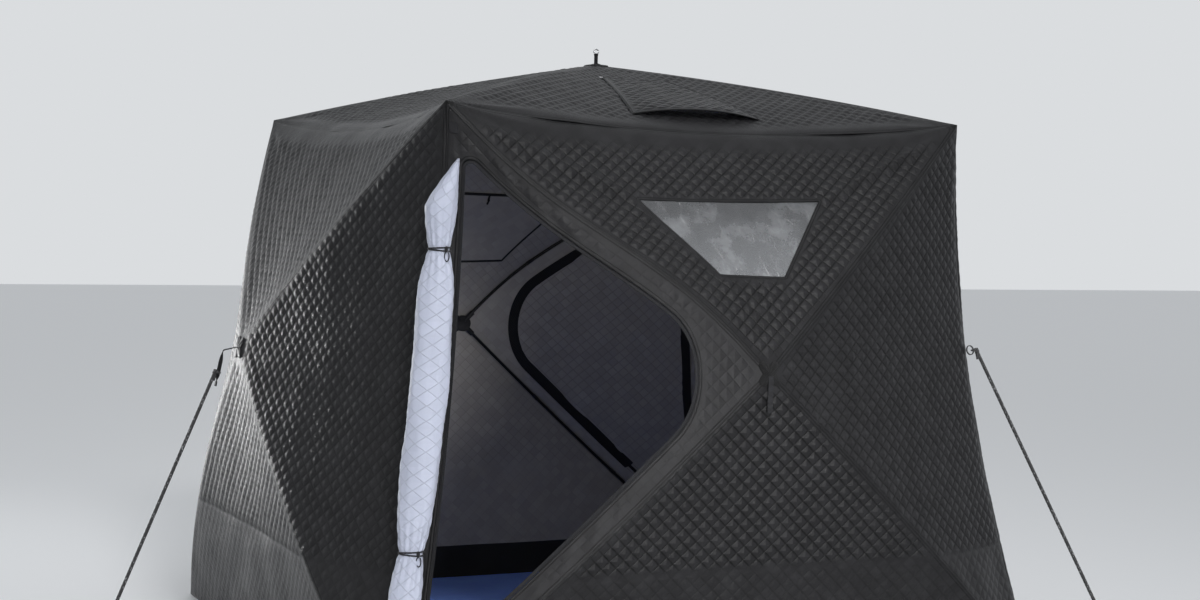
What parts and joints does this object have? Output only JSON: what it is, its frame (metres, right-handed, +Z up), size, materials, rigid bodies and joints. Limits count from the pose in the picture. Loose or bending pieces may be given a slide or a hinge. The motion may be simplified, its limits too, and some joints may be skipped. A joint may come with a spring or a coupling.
{
  "type": "ice fishing hut",
  "caption": "Pop-up ice fishing hut: padded fabric walls and roof pushed out by hubs with bowed poles, open zip door, windows, roof vent hood and guy ropes.",
  "frame": {"origin": "middle of the square footprint of the fabric, on the ice", "axes": "+X to the right along the front wall, +Y from the front to the back, +Z up"},
  "size_m": [3.2135, 2.5852, 2.1022],
  "materials": {
    "quilted_fabric": "matte black polyester, quilted over thin padding in small diamonds",
    "lining": "pale blue-white satin lining with the same quilting",
    "webbing": "black woven webbing, binding and zip tape",
    "window_film": "clear flexible film, creased and hazy",
    "hub_plastic": "black moulded nylon with a fine grain",
    "pole": "dark fibreglass rod, slightly glossy",
    "floor_fabric": "navy coated floor fabric",
    "anchor_metal": "plated steel rod",
    "rope": "black braided cord with white flecks"
  },
  "bodies": {
    "root": {"front_top_panel": "quilted_fabric", "front_right_panel": "quilted_fabric", "front_base_panel": "quilted_fabric", "front_left_panel": "quilted_fabric", "left_top_panel": "quilted_fabric", "left_front_panel": "quilted_fabric", "left_base_panel": "quilted_fabric", "left_back_panel": "quilted_fabric", "back_top_panel": "quilted_fabric", "back_left_panel": "quilted_fabric", "back_base_panel": "quilted_fabric", "back_right_panel": "quilted_fabric", "right_top_panel": "quilted_fabric", "right_back_panel": "quilted_fabric", "right_base_panel": "quilted_fabric", "right_front_panel": "quilted_fabric", "roof_front_panel": "quilted_fabric", "roof_left_panel": "quilted_fabric", "roof_back_panel": "quilted_fabric", "roof_right_panel": "quilted_fabric", "front_hub": "hub_plastic", "left_hub": "hub_plastic", "back_hub": "hub_plastic", "right_hub": "hub_plastic", "roof_hub": "hub_plastic", "front_poles": "pole", "left_poles": "pole", "back_poles": "pole", "right_poles": "pole", "roof_poles": "pole", "corner_sockets": "hub_plastic", "window_films": "window_film", "back_window_cover": "quilted_fabric", "door_zips": "webbing", "back_door_flap": "quilted_fabric", "front_door_roll": "lining", "roll_ties": "webbing", "roof_vent_hood": "quilted_fabric", "roof_loop": "webbing", "hub_patches": "webbing", "pull_straps": "webbing", "corner_tabs": "webbing", "guy_ropes": "rope", "ice_anchors": "anchor_metal", "floor_mat": "floor_fabric"}
  },
  "joints": []
}
